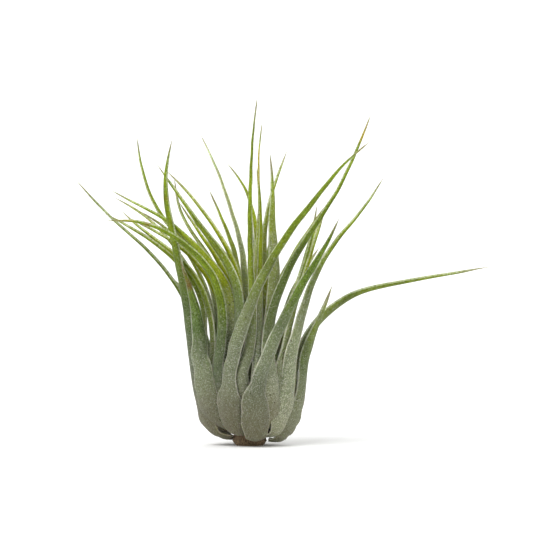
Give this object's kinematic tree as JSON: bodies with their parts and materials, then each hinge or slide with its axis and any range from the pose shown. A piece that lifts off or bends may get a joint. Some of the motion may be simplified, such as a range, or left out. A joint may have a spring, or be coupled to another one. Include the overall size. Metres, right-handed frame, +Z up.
{
  "type": "air plant",
  "caption": "Small rootless bromeliad: a tuft of narrow channelled grey-green leaves with fine tips, standing on the dry end of its stem.",
  "frame": {"origin": "middle of the flat end of the stem, which the plant stands on", "axes": "+Z up along the stem; +X towards the long arching leaf; -Y towards the side that the picture shows"},
  "size_m": [0.1239, 0.0709, 0.1046],
  "materials": {
    "stem": "dry and fibrous",
    "old_leaf": "matte, grey with fine silvery scales",
    "leaf": "matte, grey-green with fine scales",
    "young_leaf": "soft satin, yellow-green"
  },
  "bodies": {
    "root": {"stem": "stem", "leaf_01": "old_leaf", "leaf_02": "old_leaf", "leaf_03": "old_leaf", "leaf_04": "old_leaf", "leaf_05": "old_leaf", "leaf_06": "old_leaf", "leaf_07": "old_leaf", "leaf_08": "old_leaf", "leaf_09": "old_leaf", "leaf_10": "old_leaf", "leaf_11": "old_leaf", "leaf_12": "old_leaf", "leaf_13": "old_leaf", "leaf_14": "old_leaf", "leaf_15": "leaf", "leaf_16": "leaf", "leaf_17": "leaf", "leaf_18": "leaf", "leaf_19": "leaf", "leaf_20": "leaf", "leaf_21": "leaf", "leaf_22": "leaf", "leaf_23": "leaf", "leaf_24": "leaf", "leaf_25": "leaf", "leaf_26": "leaf", "leaf_27": "leaf", "leaf_28": "leaf", "leaf_29": "leaf", "leaf_30": "leaf", "leaf_31": "leaf", "leaf_32": "leaf", "leaf_33": "leaf", "leaf_34": "young_leaf", "leaf_35": "young_leaf", "leaf_36": "young_leaf", "leaf_37": "young_leaf", "leaf_38": "young_leaf", "leaf_39": "young_leaf", "leaf_40": "young_leaf", "leaf_41": "young_leaf", "leaf_42": "young_leaf", "leaf_43": "young_leaf", "leaf_44": "young_leaf", "leaf_45": "young_leaf", "leaf_46": "young_leaf", "leaf_47": "young_leaf", "leaf_48": "young_leaf", "leaf_49": "young_leaf", "leaf_50": "young_leaf"}
  },
  "joints": []
}
